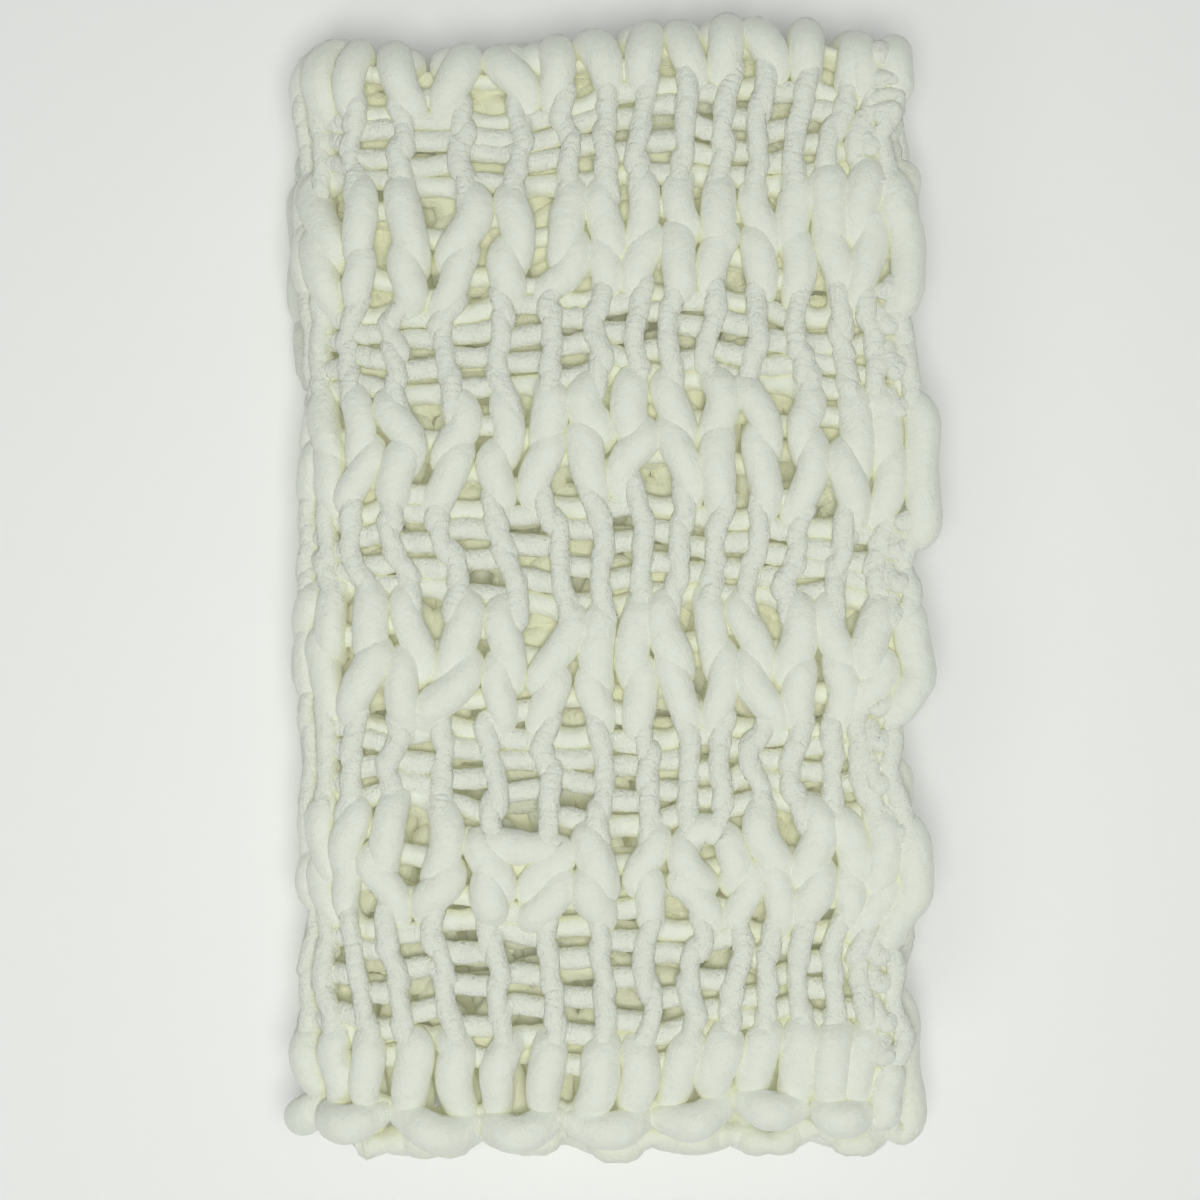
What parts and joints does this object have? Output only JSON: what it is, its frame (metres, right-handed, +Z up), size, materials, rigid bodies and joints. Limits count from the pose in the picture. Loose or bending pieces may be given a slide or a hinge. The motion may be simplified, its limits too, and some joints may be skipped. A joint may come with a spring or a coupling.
{
  "type": "folded throw blanket",
  "caption": "Chunky hand-knit plush throw folded in half and then in thirds into a pile, with side folds that open flat.",
  "frame": {"origin": "centre of the pile's footprint, on the surface that it lies on", "axes": "+Z up through the pile, +Y towards the far edge where the cloth is folded in half, +X towards the side where the top panel's free selvedge lies"},
  "size_m": [0.4384, 0.792, 0.187],
  "materials": {
    "thick_plush_yarn": "velvety off-white plush chenille, smooth and fat",
    "thin_plush_yarn": "off-white plush chenille of lighter weight, more nubbly"
  },
  "bodies": {
    "bottom_panel": {"bottom_panel_lower_thick_bands": "thick_plush_yarn", "bottom_panel_lower_thin_bands": "thin_plush_yarn", "bottom_panel_upper_thick_bands": "thick_plush_yarn", "bottom_panel_upper_thin_bands": "thin_plush_yarn", "bottom_panel_far_bend": "thick_plush_yarn", "bottom_panel_cast_on_edge": "thick_plush_yarn", "bottom_panel_bind_off_edge": "thick_plush_yarn", "bottom_panel_selvedge_loops": "thick_plush_yarn"},
    "right_fold_lower": {"right_fold_lower_thick_bands": "thick_plush_yarn", "right_fold_lower_thin_bands": "thin_plush_yarn", "right_fold_lower_far_bend": "thick_plush_yarn", "right_fold_lower_edges": "thick_plush_yarn"},
    "right_fold_upper": {"right_fold_upper_thick_bands": "thick_plush_yarn", "right_fold_upper_thin_bands": "thin_plush_yarn", "right_fold_upper_far_bend": "thick_plush_yarn", "right_fold_upper_edges": "thick_plush_yarn"},
    "middle_panel": {"middle_panel_lower_thick_bands": "thick_plush_yarn", "middle_panel_lower_thin_bands": "thin_plush_yarn", "middle_panel_upper_thick_bands": "thick_plush_yarn", "middle_panel_upper_thin_bands": "thin_plush_yarn", "middle_panel_far_bend": "thick_plush_yarn", "middle_panel_cast_on_edge": "thick_plush_yarn", "middle_panel_bind_off_edge": "thick_plush_yarn"},
    "left_fold_lower": {"left_fold_lower_thick_bands": "thick_plush_yarn", "left_fold_lower_thin_bands": "thin_plush_yarn", "left_fold_lower_far_bend": "thick_plush_yarn", "left_fold_lower_edges": "thick_plush_yarn"},
    "left_fold_upper": {"left_fold_upper_thick_bands": "thick_plush_yarn", "left_fold_upper_thin_bands": "thin_plush_yarn", "left_fold_upper_far_bend": "thick_plush_yarn", "left_fold_upper_edges": "thick_plush_yarn"},
    "top_panel": {"top_panel_lower_thick_bands": "thick_plush_yarn", "top_panel_lower_thin_bands": "thin_plush_yarn", "top_panel_upper_thick_bands": "thick_plush_yarn", "top_panel_upper_thin_bands": "thin_plush_yarn", "top_panel_far_bend": "thick_plush_yarn", "top_panel_cast_on_edge": "thick_plush_yarn", "top_panel_bind_off_edge": "thick_plush_yarn", "top_panel_selvedge_loops": "thick_plush_yarn"}
  },
  "joints": [
    {"name": "right_fold", "type": "hinge", "parent": "bottom_panel", "child": "right_fold_lower", "pos_m": [0.17613, 0, 0.00834], "axis": [0, 1, 0], "range_deg": [0, 60]},
    {"name": "right_fold_middle", "type": "hinge", "parent": "right_fold_lower", "child": "right_fold_upper", "pos_m": [0.20725, 0, 0.06225], "axis": [0, 1, 0], "range_deg": [0, 60]},
    {"name": "right_fold_top", "type": "hinge", "parent": "right_fold_upper", "child": "middle_panel", "pos_m": [0.17613, 0, 0.11616], "axis": [0, 1, 0], "range_deg": [0, 60]},
    {"name": "left_fold", "type": "hinge", "parent": "middle_panel", "child": "left_fold_lower", "pos_m": [-0.17613, 0, 0.07084], "axis": [0, -1, 0], "range_deg": [0, 60]},
    {"name": "left_fold_middle", "type": "hinge", "parent": "left_fold_lower", "child": "left_fold_upper", "pos_m": [-0.20725, 0, 0.12475], "axis": [0, -1, 0], "range_deg": [0, 60]},
    {"name": "left_fold_top", "type": "hinge", "parent": "left_fold_upper", "child": "top_panel", "pos_m": [-0.17613, 0, 0.17866], "axis": [0, -1, 0], "range_deg": [0, 60]}
  ],
  "couplings": [
    {"joint": "right_fold_middle", "follows": "right_fold", "ratio": 1},
    {"joint": "right_fold_top", "follows": "right_fold", "ratio": 1},
    {"joint": "left_fold_middle", "follows": "left_fold", "ratio": 1},
    {"joint": "left_fold_top", "follows": "left_fold", "ratio": 1}
  ]
}
